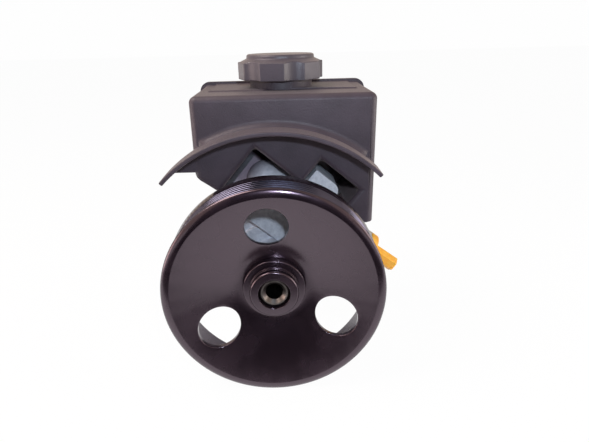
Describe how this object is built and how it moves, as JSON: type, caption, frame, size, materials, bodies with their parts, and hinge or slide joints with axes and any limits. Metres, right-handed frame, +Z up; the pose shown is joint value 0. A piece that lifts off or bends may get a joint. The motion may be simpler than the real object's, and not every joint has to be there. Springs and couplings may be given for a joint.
{
  "type": "power steering pump",
  "caption": "Belt-driven vane power steering pump: ribbed pulley, cast housing, saddle reservoir with belt guard and screw cap, plugged pressure port.",
  "frame": {"origin": "on the shaft axis, in the plane of the three mounting faces", "axes": "+Z up with the reservoir level, -Y out of the pulley's face along the shaft, +X to the right seen from the pulley"},
  "size_m": [0.1513, 0.15, 0.196],
  "materials": {
    "pulley_paint": "semi-gloss black paint",
    "ground_steel": "ground bright",
    "sintered_steel": "sintered, ground faces",
    "spring_steel": "drawn wire",
    "clip_steel": "plated strip",
    "plated_steel": "zinc plated",
    "cast_aluminium": "as cast",
    "seal_rubber": "matt black",
    "bush_bronze": "sintered bronze",
    "plug_plastic": "orange moulding",
    "reservoir_plastic": "fine satin black moulding",
    "cap_plastic": "fine satin black moulding"
  },
  "bodies": {
    "pump": {"dowel_pin_1": "ground_steel", "dowel_pin_2": "ground_steel", "cam_ring": "sintered_steel", "thrust_plate": "sintered_steel", "pressure_plate": "sintered_steel", "end_cover_ring": "spring_steel", "pressure_plate_spring": "spring_steel", "valve_spring": "spring_steel", "left_clip": "clip_steel", "right_clip": "clip_steel", "outlet_fitting": "plated_steel", "end_cover": "plated_steel", "housing": "cast_aluminium", "shaft_seal": "seal_rubber", "pressure_plate_o_ring": "seal_rubber", "end_cover_o_ring": "seal_rubber", "outlet_o_ring": "seal_rubber", "suction_o_ring": "seal_rubber", "front_bush": "bush_bronze", "reservoir_front": "reservoir_plastic", "reservoir_rear": "reservoir_plastic"},
    "rotating_group": {"pulley_wheel": "pulley_paint", "pulley_hub": "pulley_paint", "drive_shaft": "ground_steel", "rotor": "sintered_steel", "rotor_snap_ring": "spring_steel", "vane_1": "ground_steel", "vane_2": "ground_steel", "vane_3": "ground_steel", "vane_4": "ground_steel", "vane_5": "ground_steel", "vane_6": "ground_steel", "vane_7": "ground_steel", "vane_8": "ground_steel", "vane_9": "ground_steel", "vane_10": "ground_steel"},
    "valve_spool": {"valve_spool": "ground_steel"},
    "port_plug": {"port_plug": "plug_plastic"},
    "cap_seal": {"cap_seal": "seal_rubber"},
    "cap": {"cap": "cap_plastic"}
  },
  "joints": [
    {"name": "shaft_spin", "type": "hinge", "parent": "pump", "child": "rotating_group", "pos_m": [0, 0, 0], "axis": [0, 1, 0], "continuous": true},
    {"name": "spool_slide", "type": "slide", "parent": "pump", "child": "valve_spool", "axis": [-0.7986, 0, 0.6018], "range_m": [0, 0.012], "stiffness_N_per_m": 3000, "springref_m": -0.006, "deforming": ["valve_spring"]},
    {"name": "plug_pull", "type": "slide", "parent": "pump", "child": "port_plug", "axis": [0.7986, 0, -0.6018], "range_m": [0, 0.02]},
    {"name": "cap_lift", "type": "slide", "parent": "pump", "child": "cap_seal", "axis": [0, 0, 1], "range_m": [0, 0.006]},
    {"name": "cap_turn", "type": "hinge", "parent": "cap_seal", "child": "cap", "pos_m": [0.008, 0.045, 0.12], "axis": [0, 0, 1], "range_deg": [0, 540]}
  ],
  "couplings": [
    {"joint": "cap_lift", "follows": "cap_turn", "m_per_rad": 0.00063662}
  ]
}
